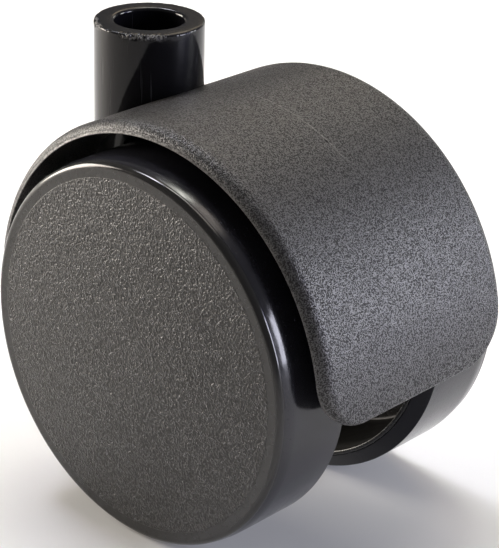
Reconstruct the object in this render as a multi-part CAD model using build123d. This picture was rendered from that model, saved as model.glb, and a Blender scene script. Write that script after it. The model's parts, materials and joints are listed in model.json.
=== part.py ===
from build123d import *
import math
import os

# Hooded twin-wheel furniture castor with an empty stem socket. Millimetres.
# The origin is at the centre of the socket's mouth, on the swivel axis. +Z points up out of the
# socket, +X from the swivel axis towards the axle, and +Y to the castor's left.

# --- driving dimensions ---------------------------------------------------------------------

wheel_diameter = 50.0
face_width = 40.8               # over the smooth rings of the two outer wheel faces
overall_height = 59.7           # floor to socket mouth
swivel_offset = 17.8            # swivel axis to axle, seen from above
socket_bore = 9.0               # stem hole diameter
axle_diameter = 6.0

# Wheels, with distances from the castor's middle plane.
tread_inner_edge = 9.15
lip_crest = 7.8                 # the rim's inner lip stands proud of the tread
shoulder_radius = 0.8           # rounding of the core's outer corner
tread_rise = 0.25               # the tread ring's crown stands this far over the core's shoulder
crown_radius = 6.5
disc_radius = 22.85             # the disc inside the smooth ring, which is slightly domed
disc_dome = 0.6
disc_thickness = 2.0            # at the ring
tread_depth = 1.3               # thickness of the running ring over the core
lip_outer_radius = 23.0
lip_inner_radius = 22.45
lip_rounding = 0.2
recess_draft = 0.35
hub_radius = 6.6
hub_end = 7.1
hub_bore_radius = 4.6
hub_bore_floor = 18.0
gusset_count = 6
gusset_thickness = 1.2

# Bearings and clips.
running_clearance = 0.05
bush_flange_radius = 5.4
bush_flange_thickness = 0.8
bush_end = 15.2
washer_thickness = 0.6
washer_radius = 5.6
clip_outer_radius = 4.2
clip_thickness = 0.7
clip_opening = 3.6
clip_groove_depth = 0.4
clip_side_play = 0.05
clip_start = 15.5
axle_half_length = 17.6
axle_chamfer = 0.4

# Hood.
hood_radius = 28.9
hood_wall = 1.5
hood_half_width = 17.05
hood_edge_rounding = 1.85
hood_lower_edge = -1.75         # height of the front and rear edges above the axle
hood_corner_radius = 7.3
neck_hole_clearance = 0.05

# Chassis.
neck_radius = 7.1
neck_rim_rounding = 0.3
socket_lip_rounding = 0.45
socket_plain_depth = 30.5
socket_depth = 36.2
socket_floor = 2.5
web_half_thickness = 1.6
flange_half_width = 4.5
flange_depth = 1.7
flange_clearance = 0.1          # between the flange and the hood above it
boss_radius = 7.5
boss_half_width = 5.6

# Stem hardware in the socket.
ring_wire_radius = 0.5
ring_bite = 0.25                # how far the ring stands into the stem hole
ring_groove_play = 0.1
thrust_disc_radius = 4.4
thrust_disc_thickness = 1.2

# Hood latches and guide ribs.
latch_angle = 9.5
latch_half_angle = 1.5
latch_half_width = 3.0
latch_depth = 0.6
latch_clearance = 0.1
guide_rib_thickness = 1.1
guide_rib_from = 20.0
guide_rib_to = 100.0

# --- worked out from them -------------------------------------------------------------------

wheel_radius = wheel_diameter / 2
wheel_face = face_width / 2
axle_drop = overall_height - wheel_radius
axle_radius = axle_diameter / 2
bore_radius = socket_bore / 2
core_seat_radius = wheel_radius - tread_depth
core_radius = wheel_radius - tread_rise
core_flat_radius = core_radius - shoulder_radius
parting = wheel_face - shoulder_radius
disc_back = wheel_face - disc_thickness
hood_inner_radius = hood_radius - hood_wall
flange_radius = hood_inner_radius - flange_clearance
bush_bore_radius = axle_radius + running_clearance


def at_axle(shape):
    """Moves a shape made about the axle's middle to its place in the castor."""
    return Pos(swivel_offset, 0, -axle_drop) * shape


def turned(points):
    """A ring turned about the Y axis, from (radius, distance along Y) points in order."""
    return revolve(make_face(Polyline(*points, close=True)), Axis.Y)


def tube(outer, inner, start, end):
    """A tube or ring about the Y axis, from one distance along Y to another."""
    return turned([(inner, start), (outer, start), (outer, end), (inner, end)])


def wedge(radius, from_angle, to_angle, half_width):
    """A pie slice about the Y axis. Angles are in degrees above +X."""
    middle = math.radians((from_angle + to_angle) / 2)
    reach = radius / math.cos(math.radians((to_angle - from_angle) / 2))
    corner_from = math.radians(from_angle)
    corner_to = math.radians(to_angle)
    outline = Polyline(
        (0, 0),
        (reach * math.cos(corner_from), reach * math.sin(corner_from)),
        (reach * 1.2 * math.cos(middle), reach * 1.2 * math.sin(middle)),
        (reach * math.cos(corner_to), reach * math.sin(corner_to)),
        close=True,
    )
    return extrude(Plane.XZ * make_face(outline), half_width, both=True)


# --- hood -----------------------------------------------------------------------------------

def hood_section():
    """The hood's wall cut along the axle: a band whose two outer edges are rounded."""
    arc_centre = hood_half_width - hood_edge_rounding
    drop = hood_edge_rounding - hood_wall
    reach = arc_centre + math.sqrt(hood_edge_rounding ** 2 - drop ** 2)
    diagonal = hood_edge_rounding * math.sqrt(0.5)
    arc_radius = hood_radius - hood_edge_rounding
    left = ThreePointArc(
        (hood_inner_radius, reach),
        (arc_radius + diagonal, arc_centre + diagonal),
        (hood_radius, arc_centre),
    )
    outside = Line((hood_radius, arc_centre), (hood_radius, -arc_centre))
    right = ThreePointArc(
        (hood_radius, -arc_centre),
        (arc_radius + diagonal, -arc_centre - diagonal),
        (hood_inner_radius, -reach),
    )
    inside = Line((hood_inner_radius, -reach), (hood_inner_radius, reach))
    return make_face([left, outside, right, inside])


def hood_outline():
    """What the hood keeps, seen from the front: everything above a lower edge with round corners."""
    height = 2 * hood_radius
    plate = Rectangle(2 * hood_half_width, height, align=(Align.CENTER, Align.MIN))
    plate = fillet(plate.vertices().group_by(Axis.Y)[0], hood_corner_radius)
    plate = Pos(0, hood_lower_edge) * plate
    return extrude(Plane.YZ * plate, hood_radius * 1.5, both=True)


def latch(depth, grow):
    """The block of one snap latch, front or rear, grown all round by a clearance."""
    band = tube(
        hood_inner_radius + hood_wall / 2,
        hood_inner_radius - depth,
        -latch_half_width - grow,
        latch_half_width + grow,
    )
    spread = latch_half_angle + math.degrees(grow / hood_inner_radius)
    front = wedge(hood_radius, latch_angle - spread, latch_angle + spread, hood_half_width)
    return band & (front + mirror(front, Plane.YZ))


def guide_ribs():
    """Two low ribs inside the hood, one on each side of the chassis flange."""
    inner = flange_half_width + flange_clearance
    rib = tube(
        hood_inner_radius + hood_wall / 2,
        flange_radius - flange_depth,
        inner,
        inner + guide_rib_thickness,
    )
    rib &= wedge(hood_radius, guide_rib_from, guide_rib_to, hood_half_width)
    return rib + mirror(rib, Plane.XZ)


def make_hood():
    shell = revolve(hood_section(), Axis.Y) & hood_outline()
    neck_hole = Pos(-swivel_offset, 0, 0) * Cylinder(
        neck_radius + neck_hole_clearance, 2 * hood_radius, align=(Align.CENTER, Align.CENTER, Align.MIN)
    )
    return at_axle(shell + guide_ribs() + latch(latch_depth, 0) - neck_hole)


# --- chassis --------------------------------------------------------------------------------

def socket_cutter():
    """The stem hole from its mouth down: rounded lip, plain bore, ring groove and disc seat."""
    groove_top = -socket_plain_depth
    groove_bottom = groove_top - 2 * ring_wire_radius - ring_groove_play
    groove_radius = bore_radius - ring_bite + 2 * ring_wire_radius + ring_groove_play
    seat_radius = bore_radius + ring_groove_play
    lip = socket_lip_rounding
    plain = Pos(0, 0, groove_top) * Cylinder(
        bore_radius, socket_plain_depth, align=(Align.CENTER, Align.CENTER, Align.MIN)
    )
    groove = Pos(0, 0, groove_bottom) * Cylinder(
        groove_radius, groove_top - groove_bottom, align=(Align.CENTER, Align.CENTER, Align.MIN)
    )
    seat = Pos(0, 0, -socket_depth) * Cylinder(
        seat_radius, socket_depth + groove_bottom, align=(Align.CENTER, Align.CENTER, Align.MIN)
    )
    diagonal = lip * math.sqrt(0.5)
    flare = make_face([
        Line((bore_radius, -lip), (bore_radius, 0)),
        Line((bore_radius, 0), (bore_radius + lip, 0)),
        ThreePointArc(
            (bore_radius + lip, 0),
            (bore_radius + lip - diagonal, diagonal - lip),
            (bore_radius, -lip),
        ),
    ])
    return plain + groove + seat + revolve(Plane.XZ * flare, Axis.Z)


def make_chassis():
    neck_length = socket_depth + socket_floor
    neck = Pos(0, 0, -neck_length) * Cylinder(
        neck_radius, neck_length, align=(Align.CENTER, Align.CENTER, Align.MIN)
    )
    neck = fillet(neck.edges().group_by(Axis.Z)[-1], neck_rim_rounding)
    neck = fillet(neck.edges().group_by(Axis.Z)[0], socket_floor)

    above_edge = Pos(0, 0, hood_lower_edge) * Box(
        4 * hood_radius, 4 * hood_radius, 2 * hood_radius, align=(Align.CENTER, Align.CENTER, Align.MIN)
    )
    web = tube(flange_radius, axle_radius, -web_half_thickness, web_half_thickness)
    flange = tube(flange_radius, flange_radius - flange_depth, -flange_half_width, flange_half_width)
    boss = tube(boss_radius, axle_radius, -boss_half_width, boss_half_width)
    frame = (web + flange) & above_edge
    frame = frame + boss - latch(latch_depth, latch_clearance)
    frame = frame - Cylinder(axle_radius, 2 * wheel_face, rotation=(90, 0, 0))
    return at_axle(frame) + neck - socket_cutter()


# --- axle and socket hardware ----------------------------------------------------------------

def make_axle_pin():
    pin = Cylinder(axle_radius, 2 * axle_half_length, rotation=(90, 0, 0))
    pin = chamfer(pin.edges().filter_by(GeomType.CIRCLE), axle_chamfer)
    groove = tube(
        axle_radius + 1,
        axle_radius - clip_groove_depth,
        clip_start - clip_side_play,
        clip_start + clip_thickness + clip_side_play,
    )
    return at_axle(pin - groove - mirror(groove, Plane.XZ))


def make_stem_retaining_ring():
    wire_centre = bore_radius - ring_bite + ring_wire_radius
    height = -socket_plain_depth - ring_wire_radius - ring_groove_play / 2
    ring = Torus(wire_centre, ring_wire_radius)
    gap = Pos(wire_centre, 0, 0) * Box(3 * ring_wire_radius, 2.4, 3 * ring_wire_radius)
    return Pos(0, 0, height) * (ring - gap)


def make_stem_thrust_disc():
    disc = Cylinder(
        thrust_disc_radius, thrust_disc_thickness, align=(Align.CENTER, Align.CENTER, Align.MIN)
    )
    disc = chamfer(disc.edges().group_by(Axis.Z)[-1], 0.25)
    return Pos(0, 0, -socket_depth) * disc


# --- one wheel and its bearing, made on the left (+Y) side --------------------------------------

def core_section():
    """Half of the wheel core cut along the axle, as (radius, distance) in order."""
    shoulder_middle = shoulder_radius * math.sqrt(0.5)
    inner_step = tread_inner_edge + tread_depth
    shoulder = ThreePointArc(
        (core_flat_radius, wheel_face),
        (core_flat_radius + shoulder_middle, parting + shoulder_middle),
        (core_radius, parting),
    )
    rim = Polyline(
        (core_radius, parting),
        (core_seat_radius, parting),
        (core_seat_radius, inner_step),
        (lip_outer_radius, inner_step),
        (lip_outer_radius, lip_crest + lip_rounding),
        (lip_outer_radius - lip_rounding, lip_crest),
        (lip_inner_radius + lip_rounding, lip_crest),
        (lip_inner_radius, lip_crest + 2 * lip_rounding),
        (lip_inner_radius - recess_draft, disc_back),
        (hub_radius, disc_back),
        (hub_radius, hub_end),
        (hub_bore_radius, hub_end),
        (hub_bore_radius, hub_bore_floor),
        (0, hub_bore_floor),
        (0, wheel_face + disc_dome),
    )
    dome_radius = (disc_radius ** 2 + disc_dome ** 2) / (2 * disc_dome)
    dome_centre = wheel_face + disc_dome - dome_radius
    disc = ThreePointArc(
        (0, wheel_face + disc_dome),
        (disc_radius / 2, dome_centre + math.sqrt(dome_radius ** 2 - disc_radius ** 2 / 4)),
        (disc_radius, wheel_face),
    )
    ring = Line((disc_radius, wheel_face), (core_flat_radius, wheel_face))
    return make_face([shoulder, rim, disc, ring])


def core_gussets():
    """Low triangular ribs between the hub and the disc."""
    root = hub_radius - 0.5
    profile = Polyline(
        (root, -disc_back - 0.5),
        (hub_radius + 11, -disc_back - 0.5),
        (hub_radius + 11, -disc_back),
        (root, -10.5),
        close=True,
    )
    one = extrude(Plane.XY * mirror(make_face(profile), Plane.XZ), gusset_thickness / 2, both=True)
    return [Rot(0, k * 360 / gusset_count, 0) * one for k in range(gusset_count)]


def make_wheel_core():
    core = revolve(core_section(), Axis.Y)
    for gusset in core_gussets():
        core = core + gusset
    return core


def make_tread_ring():
    edge = 0.15
    inner_step = tread_inner_edge + tread_depth
    crown_turn = math.acos(1 - tread_rise / crown_radius)
    crown_end = parting - crown_radius * math.sin(crown_turn)
    crown = ThreePointArc(
        (core_radius, parting),
        (
            wheel_radius - crown_radius * (1 - math.cos(crown_turn / 2)),
            crown_end + crown_radius * math.sin(crown_turn / 2),
        ),
        (wheel_radius, crown_end),
    )
    rest = Polyline(
        (wheel_radius, crown_end),
        (wheel_radius, tread_inner_edge + edge),
        (wheel_radius - edge, tread_inner_edge),
        (lip_outer_radius, lip_crest + edge),
        (lip_outer_radius, inner_step),
        (core_seat_radius, inner_step),
        (core_seat_radius, parting),
        (core_radius, parting),
    )
    return revolve(make_face([crown, rest]), Axis.Y)


def make_hub_bush():
    flange_face = hub_end - bush_flange_thickness
    return turned([
        (bush_bore_radius, flange_face),
        (bush_flange_radius, flange_face),
        (bush_flange_radius, hub_end),
        (hub_bore_radius, hub_end),
        (hub_bore_radius, bush_end),
        (bush_bore_radius, bush_end),
    ])


def make_thrust_washer():
    return tube(washer_radius, bush_bore_radius, boss_half_width, boss_half_width + washer_thickness)


def make_axle_clip():
    clip = tube(clip_outer_radius, axle_radius - clip_groove_depth, clip_start, clip_start + clip_thickness)
    opening = Pos(0, 0, -clip_outer_radius) * Box(clip_opening, 4 * wheel_face, 2 * clip_outer_radius)
    return clip - opening


# --- write one file per piece -----------------------------------------------------------------

nodes = {
    "hood": make_hood(),
    "chassis": make_chassis(),
    "axle_pin": make_axle_pin(),
    "stem_retaining_ring": make_stem_retaining_ring(),
    "stem_thrust_disc": make_stem_thrust_disc(),
}
paired = {
    "wheel_core": make_wheel_core(),
    "tread_ring": make_tread_ring(),
    "hub_bush": make_hub_bush(),
    "thrust_washer": make_thrust_washer(),
    "axle_clip": make_axle_clip(),
}
for name, left_piece in paired.items():
    nodes[name + "_left"] = at_axle(left_piece)
    nodes[name + "_right"] = at_axle(mirror(left_piece, Plane.XZ))

os.makedirs("parts", exist_ok=True)
for name, piece in nodes.items():
    piece.label = name
    export_step(piece, f"parts/{name}.step")
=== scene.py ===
import json
import math
from collections import namedtuple

import bmesh
import bpy
from mathutils import Matrix, Vector, noise


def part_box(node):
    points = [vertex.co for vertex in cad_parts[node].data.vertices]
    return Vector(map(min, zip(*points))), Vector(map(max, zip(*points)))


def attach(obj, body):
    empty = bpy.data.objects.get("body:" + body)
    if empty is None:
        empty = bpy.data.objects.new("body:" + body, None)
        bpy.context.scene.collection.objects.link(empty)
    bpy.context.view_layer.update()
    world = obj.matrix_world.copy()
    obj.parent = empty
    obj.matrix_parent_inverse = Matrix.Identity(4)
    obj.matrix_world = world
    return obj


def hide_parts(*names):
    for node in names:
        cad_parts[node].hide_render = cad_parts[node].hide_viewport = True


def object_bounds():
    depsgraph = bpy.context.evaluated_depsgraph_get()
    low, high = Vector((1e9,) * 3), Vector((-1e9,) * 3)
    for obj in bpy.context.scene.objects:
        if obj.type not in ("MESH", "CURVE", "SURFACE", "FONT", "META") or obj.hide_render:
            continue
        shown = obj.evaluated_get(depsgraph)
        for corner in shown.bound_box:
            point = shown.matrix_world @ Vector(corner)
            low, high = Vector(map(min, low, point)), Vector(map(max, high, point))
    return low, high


# Looks of a hooded twin-wheel furniture castor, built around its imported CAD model. The row frame has
# its origin at the mouth of the stem socket, +Z up, +X towards the axle, +Y to the castor's left.

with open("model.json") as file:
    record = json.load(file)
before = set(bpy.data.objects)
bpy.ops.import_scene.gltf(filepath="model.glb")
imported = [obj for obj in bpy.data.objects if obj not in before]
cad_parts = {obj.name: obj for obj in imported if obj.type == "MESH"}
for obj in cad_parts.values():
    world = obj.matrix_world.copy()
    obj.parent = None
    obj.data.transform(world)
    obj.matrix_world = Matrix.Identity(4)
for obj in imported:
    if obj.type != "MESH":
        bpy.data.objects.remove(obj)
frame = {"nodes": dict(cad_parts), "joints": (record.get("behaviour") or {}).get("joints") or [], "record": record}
cad_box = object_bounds()

MM = 0.001

# --- places and sizes read from the frame, in millimetres -------------------------------------------

axle = Vector(next(j for j in frame["joints"] if j["name"] == "right_wheel_spin")["pos_m"]) / MM
axle.y = 0.0
tread_lo, tread_hi = (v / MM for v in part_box("tread_ring_right"))
core_lo, core_hi = (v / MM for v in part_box("wheel_core_right"))
hood_lo, hood_hi = (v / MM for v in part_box("hood"))
chassis_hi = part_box("chassis")[1] / MM
pin_lo, pin_hi = (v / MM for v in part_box("axle_pin"))
floor_height = cad_box[0].z / MM

wheel_radius = (tread_hi.z - tread_lo.z) / 2
core_radius = (core_hi.z - core_lo.z) / 2
parting = -tread_lo.y
hub_end = -core_hi.y
hood_radius = hood_hi.z - axle.z
hood_half_width = hood_hi.y
hood_low = hood_lo.z - axle.z
axle_radius = (pin_hi.z - pin_lo.z) / 2
neck_radius = chassis_hi.y

# --- sizes of the details, in millimetres ------------------------------------------------------------

seam_gap = 0.015                # half the hairline gap between the core and the tread ring
tread_inner_edge = 9.15
tread_seat = 23.7
tread_step = tread_inner_edge + 1.3     # where the seat ends and the core's lip begins
lip_crest = 7.8
lip_outer = 23.0
lip_inner = 22.45
lip_rounding = 0.2
shoulder = 0.8
crown = 6.5                     # rounding of the tread ring beside the core's shoulder
disc_back = 18.4
recess_draft = 0.35
recess_rounding = 0.9
grain_edge = 22.85              # the grained disc ends here, and a smooth ring starts
disc_dome = 0.6                 # height of the disc's middle over the ring
wheel_face = -core_lo.y - disc_dome
hub_radius = 6.6
hub_bore = 4.6
hub_bore_floor = 18.0
gusset_count = 6
gusset_reach = 17.6
gusset_height = 10.5
gusset_half = 0.6
gusset_taper = 0.25             # share of its thickness that a gusset loses towards its crest

hood_wall = 1.5
hood_corner = 7.3
side_rounding = 1.85
end_rounding = 0.45
inside_rounding = 0.12
neck_gap = 0.05
rib_inner = 4.6
rib_outer = 5.7
rib_depth = 3.4                 # from the hood's outside to the ribs' crests
rib_angles = (20, 100)
latch_angle = 9.5
latch_spread = 1.5
latch_half_width = 3.0
latch_depth = 0.6
latch_gap = 0.1
flow_line_across = 0.8          # a faint flow line runs round the hood, from its top towards its front
flow_line_end = 16.5
nick_across = 0.6
nick_turned = 12.4

bore_radius = 4.5
socket_lip = 0.45
plain_depth = 30.5
groove_radius = 5.35
groove_end = 31.6
seat_radius = 4.6
seat_depth = 36.2
neck_bottom = -38.7
neck_foot = 2.5                 # rounding at the neck's lower end
neck_rim = 0.3
rim_depths = (10, 4, 2, 1.3, 1.1, 0.95, 0.82, 0.7, 0.6, 0.5)      # rings that close up for the chips
rim_radii = (6.5, 6.35, 6.2, 6.0, 0)
chip_reach = 0.75
deepest_chip = 0.36
chipped_arcs = ((-123, 20), (-52, 30))     # where the rim is most chipped, and how far round, in degrees
web_half = 1.6
flange_half = 4.5
flange_gap = 0.1
flange_depth = 1.7
boss_radius = 7.5
boss_half = 5.6
boss_rounding = 0.25


# --- mesh helpers ------------------------------------------------------------------------------------

def rounded(corners, step=math.radians(12), support=0.12, closed=False):
    """A path through (a, b, fillet) corners, with arcs at the fillets and a support point beside each arc."""
    count = len(corners)
    spots = [Vector(corner[:2]) for corner in corners]
    reaches = []
    for i, (_, _, fillet) in enumerate(corners):
        if fillet == 0 or (not closed and i in (0, count - 1)):
            reaches.append(0.0)
            continue
        turn = (spots[i - 1] - spots[i]).angle(spots[(i + 1) % count] - spots[i])
        reaches.append(fillet / math.tan(turn / 2))
    path = []
    for i, here in enumerate(spots):
        if reaches[i] == 0:
            path.append(here)
            continue
        legs = [(spots[j] - here, reaches[j]) for j in (i - 1, (i + 1) % count)]
        u, v = (leg.normalized() for leg, _ in legs)
        spare = [leg.length - reach - reaches[i] > 2.5 * support for leg, reach in legs]
        centre = here + (u + v).normalized() * math.hypot(reaches[i], corners[i][2])
        start = here + u * reaches[i] - centre
        end = here + v * reaches[i] - centre
        sweep = start.angle(end)
        steps = max(3, math.ceil(sweep / step))
        if spare[0]:
            path.append(here + u * (reaches[i] + support))
        for k in range(steps + 1):
            t = k / steps
            blend = start * math.sin((1 - t) * sweep) + end * math.sin(t * sweep)
            path.append(centre + blend / math.sin(sweep))
        if spare[1]:
            path.append(here + v * (reaches[i] + support))
    return path


def mesh_object(name, points, faces):
    """A closed mesh object from points in millimetres, with its normals turned outwards."""
    mesh = bpy.data.meshes.new(name)
    mesh.from_pydata([Vector(p) * MM for p in points], [], faces)
    tidy = bmesh.new()
    tidy.from_mesh(mesh)
    bmesh.ops.remove_doubles(tidy, verts=tidy.verts, dist=1e-6)
    bmesh.ops.recalc_face_normals(tidy, faces=tidy.faces)
    if tidy.calc_volume(signed=True) < 0:
        bmesh.ops.reverse_faces(tidy, faces=tidy.faces)
    tidy.to_mesh(mesh)
    tidy.free()
    obj = bpy.data.objects.new(name, mesh)
    bpy.context.scene.collection.objects.link(obj)
    return obj


def lathe(name, path, centre, axis="Y", segments=256, closed=False):
    """A solid turned about the axis through centre. The path holds (radius, distance along the axis) pairs.

    A closed path makes a ring. An open one starts and ends on the axis.
    """
    points, rings = [], []
    for radius, along in path:
        if radius < 1e-6:
            rings.append([len(points)] * segments)
            spots = [(0.0, 0.0)]
        else:
            rings.append([len(points) + k for k in range(segments)])
            turns = [2 * math.pi * k / segments for k in range(segments)]
            spots = [(radius * math.cos(turn), radius * math.sin(turn)) for turn in turns]
        for u, v in spots:
            if axis == "Y":
                spot = Vector((centre[0] + u, along, centre[2] + v))
            else:
                spot = Vector((centre[0] + u, centre[1] + v, along))
            points.append(spot)
    faces = []
    pairs = list(zip(rings, rings[1:]))
    if closed:
        pairs.append((rings[-1], rings[0]))
    for lower, upper in pairs:
        for k in range(segments):
            n = (k + 1) % segments
            corners = [lower[k], lower[n], upper[n], upper[k]]
            face = [c for i, c in enumerate(corners) if c not in corners[:i]]
            if len(face) > 2:
                faces.append(face)
    return mesh_object(name, points, faces)


def arc_block(name, inner, outer, start, end, from_angle, to_angle, segments):
    """A stretch of a ring about the axle, from start to end along Y. Angles are above +X, in degrees."""
    points, faces = [], []
    for k in range(segments + 1):
        angle = math.radians(from_angle + (to_angle - from_angle) * k / segments)
        for radius, along in ((inner, start), (outer, start), (outer, end), (inner, end)):
            points.append((axle.x + radius * math.cos(angle), along, axle.z + radius * math.sin(angle)))
    for k in range(segments):
        a, b = 4 * k, 4 * k + 4
        for i in range(4):
            j = (i + 1) % 4
            faces.append([a + i, a + j, b + j, b + i])
    faces.append([0, 1, 2, 3])
    faces.append([4 * segments + i for i in (3, 2, 1, 0)])
    return mesh_object(name, points, faces)


def prism(name, outline, start, end):
    """A solid with an outline of (x, z) points, from start to end along Y."""
    count = len(outline)
    points = [(x, start, z) for x, z in outline] + [(x, end, z) for x, z in outline]
    faces = [list(range(count)), list(range(2 * count - 1, count - 1, -1))]
    for i in range(count):
        j = (i + 1) % count
        faces.append([i, j, count + j, count + i])
    return mesh_object(name, points, faces)


def combine(target, others, operation):
    """Joins other solids to target, or cuts them from it, and removes them."""
    for other in others:
        modifier = target.modifiers.new("combine", "BOOLEAN")
        modifier.operation = operation
        modifier.solver = "EXACT"
        modifier.object = other
        bpy.context.view_layer.update()
        shape = target.evaluated_get(bpy.context.evaluated_depsgraph_get())
        mesh = bpy.data.meshes.new_from_object(shape)
        tidy = bmesh.new()
        tidy.from_mesh(mesh)
        bmesh.ops.remove_doubles(tidy, verts=tidy.verts, dist=5e-7)
        bmesh.ops.dissolve_degenerate(tidy, dist=5e-7, edges=tidy.edges)
        tidy.to_mesh(mesh)
        tidy.free()
        target.modifiers.clear()
        old = target.data
        target.data = mesh
        mesh.name = target.name
        bpy.data.meshes.remove(old)
        bpy.data.objects.remove(other)
    return target


def smooth(obj, degrees=32):
    """Smooth shading, with creases kept at edges sharper than the angle."""
    for polygon in obj.data.polygons:
        polygon.use_smooth = True
    obj.data.set_sharp_from_angle(angle=math.radians(degrees))
    return obj


def cylinder(name, radius, start, end, centre, axis, segments=128):
    return lathe(name, [(0, start), (radius, start), (radius, end), (0, end)], centre, axis, segments)


# --- hood --------------------------------------------------------------------------------------------

def hood_edge_profile(rounding):
    """The wall's edge as (distance in from the edge, depth below the outside) pairs, outside to inside."""
    straight_end = hood_wall - inside_rounding
    last = math.acos(max(0.0, 1 - straight_end / rounding))
    steps = 10
    path = [
        (rounding * (1 - math.sin(last * k / steps)), rounding * (1 - math.cos(last * k / steps)))
        for k in range(steps + 1)
    ]
    edge = path[-1][0]
    path.append((edge, straight_end))
    for k in range(1, 4):
        turn = math.radians(30 * k)
        path.append((
            edge + inside_rounding * (1 - math.cos(turn)),
            straight_end + inside_rounding * math.sin(turn),
        ))
    return path


# A place on the hood's outline, before it is rounded: where it is, which way out is, how far it belongs to
# the hood's end rather than its side (0 to 1), and which point of the middle's grid it meets.
Spot = namedtuple("Spot", "across along out_across out_along end_share column row")


def wrapped(across, along, depth):
    """A point at depth below the hood's outside. across is along Y, and along runs round from the top."""
    angle = math.pi / 2 - along / hood_radius
    radius = hood_radius - depth
    return (axle.x + radius * math.cos(angle), across, axle.z + radius * math.sin(angle))


def make_hood():
    """The cover: a rounded oblong wrapped round the axle, with rings along its edge round a grid."""
    lowest = math.asin(hood_low / hood_radius)
    half_length = hood_radius * (math.pi / 2 - lowest)
    flat_across = hood_half_width - hood_corner
    flat_along = half_length - hood_corner
    across_steps, along_steps, corner_steps = 40, 160, 14

    outline = []
    for k in range(along_steps):
        outline.append(Spot(flat_across, flat_along * (2 * k / along_steps - 1), 1, 0, 0, across_steps, k))
    for k in range(corner_steps):
        share = k / corner_steps
        turn = math.pi / 2 * share
        outline.append(Spot(
            flat_across, flat_along, math.cos(turn), math.sin(turn), share, across_steps, along_steps,
        ))
    for k in range(across_steps):
        across = flat_across * (1 - 2 * k / across_steps)
        outline.append(Spot(across, flat_along, 0, 1, 1, across_steps - k, along_steps))
    for k in range(corner_steps):
        share = k / corner_steps
        turn = math.pi / 2 * share
        outline.append(Spot(
            -flat_across, flat_along, -math.sin(turn), math.cos(turn), 1 - share, 0, along_steps,
        ))
    outline += [
        Spot(
            -spot.across, -spot.along, -spot.out_across, -spot.out_along, spot.end_share,
            across_steps - spot.column, along_steps - spot.row,
        )
        for spot in outline
    ]

    points = []
    grids = []
    for depth in (0.0, hood_wall):
        grid = {}
        for column in range(across_steps + 1):
            across = flat_across * (2 * column / across_steps - 1)
            for row in range(along_steps + 1):
                along = flat_along * (2 * row / along_steps - 1)
                grid[column, row] = len(points)
                points.append(wrapped(across, along, depth))
        grids.append(grid)

    lead = [(inset, 0.0) for inset in (6.0, 4.6, 3.4, 2.6, 2.1)]
    tail = [(inset, hood_wall) for inset in (0.5, 1.2, 2.6, 4.6, 6.0)]
    profiles = []
    for spot in outline:
        ease = spot.end_share * spot.end_share * (3 - 2 * spot.end_share)
        rounding = side_rounding + (end_rounding - side_rounding) * ease
        profiles.append(lead + hood_edge_profile(rounding) + tail)
    rings = [[grids[0][spot.column, spot.row] for spot in outline]]
    for step in range(len(profiles[0])):
        ring = []
        for spot, profile in zip(outline, profiles):
            inset, depth = profile[step]
            out = hood_corner - inset
            ring.append(len(points))
            points.append(wrapped(
                spot.across + spot.out_across * out, spot.along + spot.out_along * out, depth,
            ))
        rings.append(ring)
    rings.append([grids[1][spot.column, spot.row] for spot in outline])

    faces = []
    count = len(outline)
    for first, second in zip(rings, rings[1:]):
        for k in range(count):
            n = (k + 1) % count
            corners = [first[k], first[n], second[n], second[k]]
            face = [c for i, c in enumerate(corners) if c not in corners[:i]]
            if len(face) > 2:
                faces.append(face)
    for grid in grids:
        for column in range(across_steps):
            for row in range(along_steps):
                corners = ((0, 0), (1, 0), (1, 1), (0, 1))
                faces.append([grid[column + i, row + j] for i, j in corners])
    hood = mesh_object("hood_shell", points, faces)

    inside = hood_radius - hood_wall
    additions = [
        arc_block("rib", hood_radius - rib_depth, inside + 0.5, *span, *rib_angles, 60)
        for span in ((rib_inner, rib_outer), (-rib_outer, -rib_inner))
    ]
    for middle in (latch_angle, 180 - latch_angle):
        additions.append(arc_block(
            "latch", inside - latch_depth, inside + 0.5, -latch_half_width, latch_half_width,
            middle - latch_spread, middle + latch_spread, 6,
        ))
    combine(hood, additions, "UNION")
    hole = cylinder("hole", neck_radius + neck_gap, axle.z, 2, (0, 0, 0), "Z", 192)
    combine(hood, [hole], "DIFFERENCE")
    return smooth(hood)


# --- chassis -----------------------------------------------------------------------------------------

def chip_rim(obj):
    """Knocks small chips and burrs into the neck's outer rim. They are worst on the right wheel's side."""
    for vertex in obj.data.vertices:
        point = vertex.co / MM
        radius = math.hypot(point.x, point.y)
        near = max(0.0, 1 - math.hypot(radius - neck_radius, point.z) / chip_reach)
        if near == 0 or radius < neck_radius - chip_reach:
            continue
        angle = math.atan2(point.y, point.x)
        offs = [abs(math.degrees(angle) - middle) / reach for middle, reach in chipped_arcs]
        wear = max(0.1, 1 - min(offs) ** 2)
        around = Vector((math.cos(angle), math.sin(angle), 0.0))
        broad = noise.noise(around * 5.5 + Vector((3.1, 0, 0)))
        fine = noise.noise(around * 21 + Vector((0, 7.7, -point.z * 1.3)))
        bite = max(0.0, broad * 0.8 + fine * 0.75 + 0.2) * wear
        cut = min(deepest_chip, bite * 0.6) * near
        burr = max(0.0, fine * 0.8 - 0.25) * 0.12 * near * wear
        vertex.co = (point - around * (cut * 0.75 - burr) - Vector((0, 0, cut * 0.8))) * MM
    return obj


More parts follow.
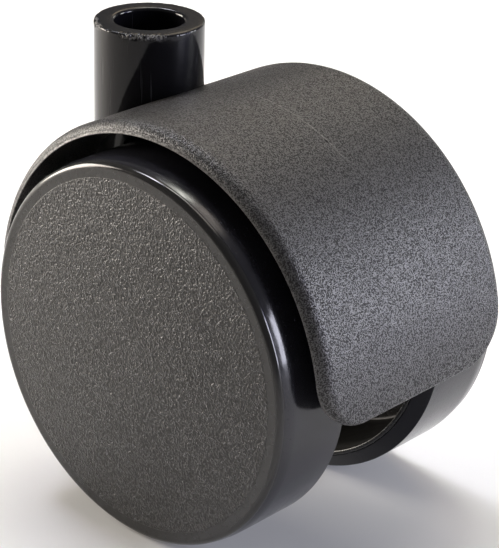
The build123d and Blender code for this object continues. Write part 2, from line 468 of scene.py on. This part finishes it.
def make_chassis():
    """The neck with its stem socket, on a web with a flange under the hood and a boss round the axle."""
    inside = hood_radius - hood_wall - flange_gap
    from_angle = math.degrees(math.asin(hood_low / inside))
    to_angle = 180 - from_angle

    web_radius = inside - flange_depth / 2
    web_start = math.asin(hood_low / web_radius)
    web_steps = 120
    outline = []
    for k in range(web_steps + 1):
        angle = web_start + (math.pi - 2 * web_start) * k / web_steps
        outline.append((axle.x + web_radius * math.cos(angle), axle.z + web_radius * math.sin(angle)))
    web = prism("web", outline, -web_half, web_half)
    flange = arc_block(
        "flange", inside - flange_depth, inside, -flange_half, flange_half, from_angle, to_angle, 180,
    )
    boss_path = rounded([
        (0, -boss_half, 0),
        (boss_radius, -boss_half, boss_rounding),
        (boss_radius, boss_half, boss_rounding),
        (0, boss_half, 0),
    ])
    boss = lathe("boss", boss_path, axle, "Y", 160)
    combine(web, [flange, boss], "UNION")
    pockets = []
    spread = latch_spread + math.degrees(latch_gap / inside)
    for middle in (latch_angle, 180 - latch_angle):
        pockets.append(arc_block(
            "pocket", inside - latch_depth, inside + 1, -latch_half_width - latch_gap,
            latch_half_width + latch_gap, middle - spread, middle + spread, 6,
        ))
    pin_hole = cylinder("pin_hole", axle_radius, -30, 30, axle, "Y", 96)
    combine(web, pockets + [pin_hole], "DIFFERENCE")

    body_path = rounded([
        (0, neck_bottom, 0), (neck_radius, neck_bottom, neck_foot), (neck_radius, -rim_depths[0], 0),
    ])
    body_path += [Vector((neck_radius, -depth)) for depth in rim_depths[1:]]
    body_path += rounded([
        (neck_radius, -rim_depths[-1], 0), (neck_radius, 0, neck_rim), (rim_radii[0], 0, 0),
    ])[1:]
    body_path += [Vector((radius, 0)) for radius in rim_radii[1:]]
    body = lathe("chassis_body", body_path, (0, 0, 0), "Z", 480)
    combine(body, [web], "UNION")
    socket_path = rounded([
        (0, 1, 0),
        (bore_radius + socket_lip, 1, 0),
        (bore_radius + socket_lip, 0, 0),
    ])
    lip_steps = 8
    for k in range(1, lip_steps + 1):
        turn = math.pi / 2 * k / lip_steps
        socket_path.append(Vector((
            bore_radius + socket_lip * (1 - math.sin(turn)), -socket_lip * (1 - math.cos(turn)),
        )))
    socket_path += [Vector(p) for p in (
        (bore_radius, -socket_lip - 0.15),
        (bore_radius, -plain_depth),
        (groove_radius, -plain_depth),
        (groove_radius, -groove_end),
        (seat_radius, -groove_end),
        (seat_radius, -seat_depth),
        (0, -seat_depth),
    )]
    combine(body, [lathe("socket", socket_path, (0, 0, 0), "Z", 240)], "DIFFERENCE")
    return smooth(chip_rim(body), 35)


# --- wheels ------------------------------------------------------------------------------------------

def make_wheel(side):
    """The core and the tread ring of one wheel. side is 1 for the left and -1 for the right."""
    hand = "left" if side > 0 else "right"
    dome_radius = (grain_edge ** 2 + disc_dome ** 2) / (2 * disc_dome)
    dome_steps = 14
    dome = []
    for k in range(dome_steps + 1):
        radius = grain_edge * k / dome_steps
        rise = math.sqrt(dome_radius ** 2 - radius ** 2) - dome_radius + disc_dome
        dome.append((radius, wheel_face + rise))
    core_path = rounded([
        *((radius, along, 0) for radius, along in dome),
        (core_radius, wheel_face, shoulder - 0.03),
        (core_radius, parting + seam_gap, 0),
        (tread_seat, parting + seam_gap, 0),
        (tread_seat, tread_step, 0),
        (lip_outer, tread_step, 0),
        (lip_outer, lip_crest, lip_rounding),
        (lip_inner, lip_crest, lip_rounding),
        (lip_inner - recess_draft, disc_back, recess_rounding),
        (hub_radius, disc_back, 0.6),
        (hub_radius, hub_end, 0.25),
        (hub_bore, hub_end, 0.2),
        (hub_bore, hub_bore_floor, 0),
        (0, hub_bore_floor, 0),
    ], step=math.radians(9))
    core_path = [(p[0], side * p[1]) for p in core_path]
    core = lathe("wheel_body_" + hand, core_path, axle, "Y", 288)

    gussets = []
    for k in range(gusset_count):
        angle = 2 * math.pi * k / gusset_count
        outward = Vector((math.cos(angle), 0, math.sin(angle)))
        sideways = Vector((-math.sin(angle), 0, math.cos(angle)))
        points = []
        profile = [
            (hub_radius - 0.4, disc_back + 0.4),
            (gusset_reach, disc_back + 0.4),
            (gusset_reach, disc_back - 0.15),
            (hub_radius + 0.3, gusset_height),
            (hub_radius - 0.4, gusset_height),
        ]
        for half in (-gusset_half, gusset_half):
            for radius, along in profile:
                thin = 1 - gusset_taper * (disc_back - along) / (disc_back - gusset_height)
                points.append(axle + outward * radius + sideways * half * thin + Vector((0, side * along, 0)))
        count = len(profile)
        faces = [list(range(count)), list(range(2 * count - 1, count - 1, -1))]
        for i in range(count):
            j = (i + 1) % count
            faces.append([i, j, count + j, count + i])
        gussets.append(mesh_object("gusset", points, faces))
    combine(core, gussets, "UNION")
    smooth(core)

    crown_turn = math.acos(1 - (wheel_radius - core_radius) / crown)
    crown_end = parting - crown * math.sin(crown_turn)
    crown_steps = 8
    crown_arc = []
    for k in range(crown_steps):
        turn = crown_turn * (1 - k / crown_steps) - 0.002
        crown_arc.append((
            wheel_radius - crown * (1 - math.cos(turn)), crown_end + crown * math.sin(turn),
        ))
    tread_path = rounded([
        (tread_seat, parting - seam_gap, 0),
        (core_radius - 0.03, parting - seam_gap, 0),
        *((radius, along, 0) for radius, along in crown_arc),
        (wheel_radius, crown_end, 0),
        (wheel_radius, crown_end - 0.5, 0),
        (wheel_radius, tread_inner_edge, 0.15),
        (lip_outer + 0.02, lip_crest + 0.13, 0.1),
        (lip_outer + 0.02, tread_step - 0.02, 0),
        (tread_seat, tread_step - 0.02, 0),
    ], step=math.radians(9), closed=True)
    tread_path = [(p[0], side * p[1]) for p in tread_path]
    tread = smooth(lathe("wheel_tread_" + hand, tread_path, axle, "Y", 360, closed=True))
    return core, tread


# --- materials ---------------------------------------------------------------------------------------

class Paint:
    """One node material around a Principled shader, with short calls for its nodes."""

    def __init__(self, name, color, roughness, metallic=0.0, ior=1.5):
        self.material = bpy.data.materials.new(name)
        self.material.use_nodes = True
        self.tree = self.material.node_tree
        self.tree.nodes.clear()
        self.shader = self.tree.nodes.new("ShaderNodeBsdfPrincipled")
        out = self.tree.nodes.new("ShaderNodeOutputMaterial")
        self.tree.links.new(self.shader.outputs["BSDF"], out.inputs["Surface"])
        self.shader.inputs["Base Color"].default_value = (*color, 1)
        self.shader.inputs["Roughness"].default_value = roughness
        self.shader.inputs["Metallic"].default_value = metallic
        self.shader.inputs["IOR"].default_value = ior
        self.place = self.node("ShaderNodeTexCoord").outputs["Object"]

    def node(self, kind, inputs=(), **settings):
        node = self.tree.nodes.new(kind)
        for name, value in settings.items():
            setattr(node, name, value)
        for key, value in dict(inputs).items():
            self.put(node.inputs[key], value)
        return node

    def put(self, socket, value):
        """Links the socket to value if that is a socket, or sets it."""
        if isinstance(value, bpy.types.NodeSocket):
            self.tree.links.new(value, socket)
        else:
            socket.default_value = value

    def math(self, operation, *values, clamp=False):
        return self.node("ShaderNodeMath", enumerate(values), operation=operation, use_clamp=clamp).outputs[0]

    def vector(self, operation, *values):
        node = self.node("ShaderNodeVectorMath", enumerate(values), operation=operation)
        return node.outputs["Value" if operation in ("LENGTH", "DOT_PRODUCT") else "Vector"]

    def noise(self, size, detail=3.0, rough=0.5, distortion=0.0, place=None):
        """Noise with features of about size millimetres."""
        inputs = {
            "Vector": place or self.place, "Scale": 1 / (size * MM), "Detail": detail,
            "Roughness": rough, "Distortion": distortion,
        }
        return self.node("ShaderNodeTexNoise", inputs).outputs["Fac"]

    def ramp(self, value, low, high, to_low=0.0, to_high=1.0):
        """A smooth step from to_low, where value is low, to to_high, where it is high."""
        inputs = {"Value": value, "From Min": low, "From Max": high, "To Min": to_low, "To Max": to_high}
        return self.node("ShaderNodeMapRange", inputs, interpolation_type="SMOOTHSTEP").outputs["Result"]

    def mix(self, share, first, second):
        """A colour between two, each a socket or an (r, g, b) triple."""
        node = self.node("ShaderNodeMix", data_type="RGBA")
        sockets = [s for s in node.inputs if s.type == "RGBA"]
        self.put(node.inputs["Factor"], share)
        for socket, value in zip(sockets, (first, second)):
            self.put(socket, value if isinstance(value, bpy.types.NodeSocket) else (*value, 1))
        return [s for s in node.outputs if s.type == "RGBA"][0]

    def product(self, first, *others):
        for other in others:
            first = self.math("MULTIPLY", first, other)
        return first

    def blend(self, share, first, second):
        """A number between two."""
        inputs = {"Factor": share, "A": first, "B": second}
        return self.node("ShaderNodeMix", inputs).outputs["Result"]

    def bump(self, height, depth):
        """A bump whose full height is depth millimetres."""
        inputs = {"Height": height, "Distance": depth * MM}
        return self.node("ShaderNodeBump", inputs).outputs["Normal"]

    def from_axle(self):
        """(distance from the axle's line in metres, offset from it)."""
        offset = self.vector("SUBTRACT", self.place, tuple(axle * MM))
        flat = self.vector("MULTIPLY", offset, (1, 0, 1))
        return self.vector("LENGTH", flat), offset

    def finish(self, color=None, roughness=None, normal=None, gleam=None):
        """Sets the shader's inputs. gleam is its specular level, which is lower in the pits of a grain."""
        inputs = {"Base Color": color, "Roughness": roughness, "Normal": normal, "Specular IOR Level": gleam}
        for name, value in inputs.items():
            if value is not None:
                self.put(self.shader.inputs[name], value)
        return self.material


def grained_plastic():
    """The hood: fine grain outside, plainer inside, with rubbed edges, a flow line and a nick."""
    paint = Paint("grained_plastic", (0.03, 0.029, 0.029), 0.5)
    radius, offset = paint.from_axle()
    outside = paint.ramp(radius, (hood_radius - 1.2) * MM, (hood_radius - 0.9) * MM)
    parts = paint.node("ShaderNodeSeparateXYZ", {"Vector": offset})
    across = paint.math("ABSOLUTE", parts.outputs["Y"])
    angle = paint.math("ARCTAN2", parts.outputs["X"], parts.outputs["Z"])
    along = paint.math("MULTIPLY", paint.math("ABSOLUTE", angle), hood_radius * MM)
    lowest = math.asin(hood_low / hood_radius)
    flat_along = hood_radius * (math.pi / 2 - lowest) - hood_corner
    flat_across = hood_half_width - hood_corner
    out_across = paint.math("MAXIMUM", paint.math("SUBTRACT", across, flat_across * MM), 0.0)
    out_along = paint.math("MAXIMUM", paint.math("SUBTRACT", along, flat_along * MM), 0.0)
    out = paint.node("ShaderNodeCombineXYZ", {"X": out_across, "Y": out_along})
    to_edge = paint.math("SUBTRACT", hood_corner * MM, paint.vector("LENGTH", out.outputs["Vector"]))

    blotch = paint.noise(9, 3)
    fine = paint.noise(0.9, 2)
    grain = paint.math("ADD", paint.math("MULTIPLY", paint.noise(0.17, 1, 0.5), 0.8),
                       paint.math("MULTIPLY", paint.noise(0.36, 1, 0.5), 0.2))
    high = paint.ramp(grain, 0.41, 0.59)
    turned = paint.math("MULTIPLY", angle, hood_radius * MM)
    waver = paint.math("MULTIPLY", paint.math("SUBTRACT", paint.noise(3, 2), 0.5), 0.5 * MM)
    off_line = paint.math("SUBTRACT", paint.math("ADD", parts.outputs["Y"], waver), flow_line_across * MM)
    flow = paint.product(
        paint.ramp(paint.math("ABSOLUTE", off_line), 0.17 * MM, 0.05 * MM),
        paint.ramp(turned, -1.0 * MM, 2.0 * MM),
        paint.ramp(turned, flow_line_end * MM, (flow_line_end - 1.5) * MM),
        paint.ramp(fine, 0.35, 0.6, 0.35, 1.0),
    )
    off_nick = paint.node("ShaderNodeCombineXYZ", {
        "X": paint.math("MULTIPLY", paint.math("SUBTRACT", parts.outputs["Y"], nick_across * MM), 2.0),
        "Y": paint.math("SUBTRACT", turned, nick_turned * MM),
    })
    nick = paint.ramp(paint.vector("LENGTH", off_nick.outputs["Vector"]), 0.46 * MM, 0.26 * MM)
    rubbed = paint.product(
        paint.ramp(to_edge, 0.16 * MM, 0.07 * MM), paint.ramp(fine, 0.35, 0.65, 0.5, 1.0),
    )
    base = paint.mix(blotch, (0.022, 0.0215, 0.022), (0.030, 0.029, 0.029))
    base = paint.mix(paint.ramp(high, 0.4, 1.0, 0.0, 0.4), base, (0.062, 0.060, 0.061))
    base = paint.mix(paint.math("MULTIPLY", flow, 0.55), base, (0.12, 0.116, 0.11))
    base = paint.mix(paint.math("MULTIPLY", nick, 0.9), base, (0.003, 0.003, 0.003))
    base = paint.mix(paint.math("MULTIPLY", rubbed, 0.8), base, (0.15, 0.145, 0.14))
    rough = paint.math("ADD", paint.ramp(blotch, 0.3, 0.7, 0.35, 0.41), paint.ramp(high, 0, 1, 0.04, -0.04))
    relief = paint.math("MULTIPLY", grain, paint.ramp(outside, 0, 1, 0.35, 1.0))
    gleam = paint.math("ADD", paint.ramp(high, 0, 1, 0.1, 1.0), paint.math("MULTIPLY", flow, 0.8))
    gleam = paint.math("MULTIPLY", gleam, paint.ramp(nick, 0, 1, 1.0, 0.1))
    return paint.finish(base, rough, paint.bump(relief, 0.13), gleam)


def gloss_plastic():
    """The chassis: polished black, with a scuffed top face and a chipped, whitened rim."""
    paint = Paint("gloss_plastic", (0.005, 0.005, 0.006), 0.10, ior=1.4)
    parts = paint.node("ShaderNodeSeparateXYZ", {"Vector": paint.place})
    flat = paint.vector("MULTIPLY", paint.place, (1, 1, 0))
    radius = paint.vector("LENGTH", flat)
    depth = paint.math("MULTIPLY", parts.outputs["Z"], -1.0)
    top = paint.ramp(depth, 0.22 * MM, 0.05 * MM)
    rim = paint.math(
        "MULTIPLY", paint.ramp(depth, 0.85 * MM, 0.2 * MM),
        paint.ramp(radius, (neck_radius - 0.6) * MM, (neck_radius - 0.3) * MM),
    )
    heading = paint.math("ARCTAN2", parts.outputs["Y"], parts.outputs["X"])
    worn = 0.04
    for middle, reach in chipped_arcs:
        off = paint.math("ABSOLUTE", paint.math("SUBTRACT", heading, math.radians(middle)))
        worn = paint.math("MAXIMUM", worn, paint.ramp(off, math.radians(reach), math.radians(reach * 0.5)))
    crumb = paint.noise(0.32, 4, 0.65)
    smear = paint.noise(4, 3)
    streak = paint.noise(0.5, 3, 0.6, place=paint.vector("MULTIPLY", paint.place, (1, 1, 0.09)))
    scratch = paint.noise(0.3, 2, 0.5, place=paint.vector("MULTIPLY", paint.place, (1, 1, 0.03)))
    chip = paint.product(rim, worn, paint.ramp(crumb, 0.46, 0.60))
    base = paint.mix(smear, (0.004, 0.004, 0.005), (0.006, 0.006, 0.008))
    base = paint.mix(paint.math("MULTIPLY", chip, 0.8), base, (0.36, 0.35, 0.33))
    base = paint.mix(paint.ramp(scratch, 0.66, 0.74, 0.0, 0.35), base, (0.10, 0.10, 0.105))
    rough = paint.math("ADD", paint.ramp(streak, 0.35, 0.7, 0.07, 0.12),
                       paint.ramp(smear, 0.4, 0.7, 0.0, 0.04))
    rough = paint.math("ADD", rough, paint.math("MULTIPLY", top, 0.10))
    rough = paint.math("ADD", rough, paint.math("MULTIPLY", chip, 0.4), clamp=True)
    relief = paint.math("ADD", paint.math("MULTIPLY", crumb, paint.ramp(chip, 0, 1, 0.02, 1.0)),
                        paint.math("MULTIPLY", streak, 0.03))
    return paint.finish(base, rough, paint.bump(relief, 0.12))


def wheel_plastic():
    """The wheel cores: a leather-grained disc inside a smooth satin ring, and a rougher hollow inner side with
    painted shade, a darkened colour and a low specular level.
    """
    paint = Paint("wheel_plastic", (0.03, 0.03, 0.03), 0.4)
    radius, offset = paint.from_axle()
    across = paint.math("ABSOLUTE", paint.node("ShaderNodeSeparateXYZ", {"Vector": offset}).outputs["Y"])
    disc = paint.product(
        paint.ramp(across, (wheel_face - 0.05) * MM, (wheel_face - 0.01) * MM),
        paint.ramp(radius, (grain_edge + 0.04) * MM, (grain_edge - 0.04) * MM),
    )
    shoulder_band = paint.ramp(radius, (core_radius - shoulder) * MM, (core_radius - shoulder + 0.2) * MM)
    # Mask of the hollow inner side: painted shade darkens its colour and lowers its specular level there, and it
    # is also made rougher.
    recess_shade = paint.product(
        paint.ramp(radius, (lip_inner + 0.05) * MM, (lip_inner - 0.15) * MM),
        paint.ramp(across, disc_back * MM, (disc_back - 0.2) * MM),
    )
    blotch = paint.noise(11, 3)
    leather = paint.noise(0.26, 1, 0.5, 0.3)
    wrinkle = paint.noise(0.5, 1, 0.5, 0.4)
    scuff = paint.noise(1.6, 3, 0.6)
    grain = paint.math("ADD", paint.math("MULTIPLY", leather, 0.65), paint.math("MULTIPLY", wrinkle, 0.35))
    high = paint.ramp(grain, 0.40, 0.60)
    base = paint.mix(blotch, (0.015, 0.0147, 0.0147), (0.020, 0.0195, 0.019))
    coarse = paint.mix(paint.ramp(high, 0.4, 1.0, 0.0, 0.4), base, (0.045, 0.0435, 0.043))
    base = paint.mix(disc, base, coarse)
    # Painted shade: the hollow inner side's colour is darkened.
    base = paint.mix(paint.math("MULTIPLY", recess_shade, 0.7), base, (0.004, 0.004, 0.004))
    rough_disc = paint.ramp(high, 0, 1, 0.34, 0.26)
    rough_ring = paint.ramp(scuff, 0.3, 0.75, 0.24, 0.32)
    rough_ring = paint.math("SUBTRACT", rough_ring, paint.math("MULTIPLY", shoulder_band, 0.14))
    rough_ring = paint.math("ADD", rough_ring, paint.math("MULTIPLY", recess_shade, 0.4))
    rough = paint.blend(disc, rough_ring, rough_disc)
    relief = paint.math("MULTIPLY", grain, paint.ramp(disc, 0, 1, 0.01, 1.0))
    gleam_disc = paint.ramp(high, 0, 1, 0.35, 0.65)
    # Painted shade: the hollow inner side's specular level drops from 0.5 to 0.03.
    gleam_ring = paint.ramp(recess_shade, 0, 1, 0.5, 0.03)
    gleam = paint.blend(disc, gleam_ring, gleam_disc)
    return paint.finish(base, rough, paint.bump(relief, 0.26), gleam)


def tread_plastic():
    """The running rings: glossy black, with painted shade on the inner side as a lower specular level, fine
    scratches and a little dust.
    """
    paint = Paint("tread_plastic", (0.016, 0.016, 0.018), 0.18)
    radius, offset = paint.from_axle()
    parts = paint.node("ShaderNodeSeparateXYZ", {"Vector": offset})
    turn = paint.math("ARCTAN2", parts.outputs["X"], parts.outputs["Z"])
    wrapped = paint.node("ShaderNodeCombineXYZ", {
        "X": paint.math("MULTIPLY", turn, 0.004), "Y": parts.outputs["Y"], "Z": radius,
    }).outputs["Vector"]
    scratch = paint.noise(0.22, 3, 0.6, place=wrapped)
    smear = paint.noise(5, 4, 0.55)
    dust = paint.noise(0.5, 4, 0.7)
    base = paint.mix(smear, (0.012, 0.012, 0.015), (0.018, 0.018, 0.023))
    base = paint.mix(paint.ramp(dust, 0.58, 0.8, 0.0, 0.35), base, (0.06, 0.058, 0.06))
    rough = paint.math("ADD", paint.ramp(smear, 0.35, 0.7, 0.13, 0.22),
                       paint.ramp(scratch, 0.4, 0.7, -0.02, 0.06))
    across = paint.math("ABSOLUTE", parts.outputs["Y"])
    # Painted shade: the inner side's specular level is lowered from 0.5 to 0.22, which darkens it.
    beside = paint.ramp(across, (tread_inner_edge + 0.12) * MM, (tread_inner_edge + 0.04) * MM)
    return paint.finish(base, rough, paint.bump(scratch, 0.004), paint.ramp(beside, 0, 1, 0.5, 0.22))


def steel(name, color, roughness, grain=0.25):
    """Turned or drawn metal with fine marks and a mottled plating."""
    paint = Paint(name, color, roughness, metallic=1.0)
    stretched = paint.vector("MULTIPLY", paint.place, (1, 0.12, 1))
    marks = paint.noise(grain, 3, 0.6, place=stretched)
    mottle = paint.noise(2.2, 4, 0.6)
    dull = tuple(c * 0.72 for c in color)
    base = paint.mix(paint.ramp(mottle, 0.35, 0.7), color, dull)
    rough = paint.math("ADD", paint.ramp(mottle, 0.3, 0.7, roughness - 0.06, roughness + 0.08),
                       paint.ramp(marks, 0.3, 0.7, -0.04, 0.06))
    return paint.finish(base, rough, paint.bump(marks, 0.006))


def bearing_plastic():
    """Natural acetal with faint turning marks and grease stains."""
    paint = Paint("bearing_plastic", (0.72, 0.70, 0.64), 0.35)
    smear = paint.noise(1.7, 4, 0.6)
    marks = paint.noise(0.2, 2, place=paint.vector("MULTIPLY", paint.place, (1, 0.2, 1)))
    base = paint.mix(paint.ramp(smear, 0.5, 0.75, 0.0, 0.6), (0.74, 0.72, 0.66), (0.50, 0.46, 0.39))
    paint.shader.inputs["Subsurface Weight"].default_value = 0.15
    paint.shader.inputs["Subsurface Scale"].default_value = 0.5 * MM
    return paint.finish(base, paint.ramp(smear, 0.3, 0.7, 0.28, 0.42), paint.bump(marks, 0.005))


def dress(obj, material):
    obj.data.materials.clear()
    obj.data.materials.append(material)
    return obj


# --- the visible pieces ------------------------------------------------------------------------------

paints = {
    "grained_plastic": grained_plastic(),
    "gloss_plastic": gloss_plastic(),
    "wheel_plastic": wheel_plastic(),
    "tread_plastic": tread_plastic(),
    "ground_steel": steel("ground_steel", (0.60, 0.60, 0.61), 0.26),
    "spring_steel": steel("spring_steel", (0.30, 0.30, 0.33), 0.34),
    "washer_steel": steel("washer_steel", (0.66, 0.65, 0.63), 0.38, 0.4),
    "bearing_plastic": bearing_plastic(),
}

wheels = {hand: make_wheel(side) for hand, side in (("left", 1), ("right", -1))}
new_pieces = [
    (make_hood(), "hood", "grained_plastic", "swivel_frame"),
    (make_chassis(), "chassis", "gloss_plastic", "swivel_frame"),
]
for hand, (core, tread) in wheels.items():
    new_pieces.append((core, "wheel_core_" + hand, "wheel_plastic", hand + "_wheel"))
    new_pieces.append((tread, "tread_ring_" + hand, "tread_plastic", hand + "_wheel"))
for piece, node, slot, body in new_pieces:
    dress(piece, paints[slot])
    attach(piece, body)
    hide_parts(node)

replaced = {node for _, node, _, _ in new_pieces}
for entry in frame["record"]["subparts"]:
    if entry["node"] not in replaced:
        kept = frame["nodes"][entry["node"]]
        dress(kept, paints[entry["material_slot"]])

# --- floor, lights and camera ------------------------------------------------------------------------

floor_paint = Paint("pale_floor", (0.86, 0.86, 0.85), 0.7)
floor_paint.finish(
    floor_paint.mix(floor_paint.noise(60, 3), (0.86, 0.86, 0.855), (0.88, 0.88, 0.875)),
    floor_paint.ramp(floor_paint.noise(25, 3), 0.3, 0.7, 0.65, 0.8),
)
floor_radius = 4000
floor_depth = 20
floor = cylinder("floor", floor_radius, floor_height - floor_depth, floor_height, (axle.x, 0, 0), "Z", 96)
dress(floor, floor_paint.material)

view_azimuth = 42.70            # the camera's place, in degrees and millimetres
view_elevation = 25.72
view_roll = 1.559
view_distance = 265.41
aim = axle + Vector((-1.042, 0, -0.893))


def direction(azimuth, elevation):
    """The way towards a place at these angles, in degrees. Azimuth 0 faces the right wheel."""
    a, e = math.radians(azimuth), math.radians(elevation)
    return Vector((math.sin(a) * math.cos(e), -math.cos(a) * math.cos(e), math.sin(e)))


def softbox(name, azimuth, elevation, distance, width, height, radiance):
    """A soft light aimed at the axle, in metres, with its radiance as (r, g, b)."""
    light = bpy.data.lights.new(name, "AREA")
    light.shape = "RECTANGLE"
    light.size, light.size_y = width, height
    strongest = max(radiance)
    light.energy = strongest * math.pi * width * height
    light.color = [part / strongest for part in radiance]
    lamp = bpy.data.objects.new(name, light)
    bpy.context.scene.collection.objects.link(lamp)
    away = direction(azimuth, elevation)
    lamp.location = axle * MM + away * distance
    lamp.rotation_mode = "QUATERNION"
    lamp.rotation_quaternion = away.to_track_quat("Z", "Y")
    return lamp


def gridded(name, azimuth, elevation, behind, radiance):
    """A soft light with a grid, which lights the floor behind the castor as the camera sees it."""
    lamp = softbox(name, azimuth, elevation, 0.9, 0.3, 0.3, radiance)
    lamp.location += direction(view_azimuth + 180, 0) * behind
    lamp.data.spread = math.radians(25)


softbox("left_near_1", 285, 12, 0.5, 0.16, 0.22, (14.6, 13.8, 12.2))
softbox("left_near_2", 300, 12, 0.5, 0.16, 0.22, (15.4, 13.9, 12.6))
softbox("right_1", 115, 13, 0.8, 0.21, 0.34, (13.0, 13.1, 15.4))
softbox("right_2", 130, 13, 0.8, 0.21, 0.34, (0.9, 0.9, 2.2))
softbox("right_3", 145, 13, 0.8, 0.21, 0.34, (12.0, 12.3, 12.6))
softbox("back_low", 195, 14, 0.8, 0.26, 0.30, (1.4, 1.35, 1.2))
softbox("back_key", 215, 38, 0.8, 0.26, 0.34, (2.05, 1.7, 1.25))
softbox("back_high", 180, 62, 0.8, 0.30, 0.30, (1.1, 0.97, 0.9))
softbox("overhead", 165, 76, 0.85, 0.30, 0.30, (2.3, 2.07, 1.84))
gridded("floor_fill_1", 222, 70, 0.14, (0.40, 0.40, 0.36))
gridded("floor_fill_2", 260, 60, 0.10, (0.56, 0.56, 0.62))

world = bpy.data.worlds.new("studio")
bpy.context.scene.world = world
world.use_nodes = True
backdrop = world.node_tree.nodes["Background"]
backdrop.inputs["Color"].default_value = (1.0, 0.99, 0.98, 1)
backdrop.inputs["Strength"].default_value = 0.13

camera_data = bpy.data.cameras.new("camera")
camera_data.sensor_width = 36
camera_data.lens = 134.57
camera_data.shift_x = 0.0200
camera_data.shift_y = 0.0698
camera_data.clip_start = 0.01
camera_data.clip_end = 20
camera = bpy.data.objects.new("camera", camera_data)
bpy.context.scene.collection.objects.link(camera)
back = direction(view_azimuth, view_elevation)
camera.location = (aim + back * view_distance) * MM
level = Vector((math.cos(math.radians(view_azimuth)), math.sin(math.radians(view_azimuth)), 0))
upward = back.cross(level)
roll = math.radians(view_roll)
right = level * math.cos(roll) + upward * math.sin(roll)
upward = back.cross(right)
camera.rotation_mode = "QUATERNION"
camera.rotation_quaternion = Matrix((right, upward, back)).transposed().to_quaternion()
bpy.context.scene.camera = camera

bpy.context.scene.view_settings.view_transform = "Standard"
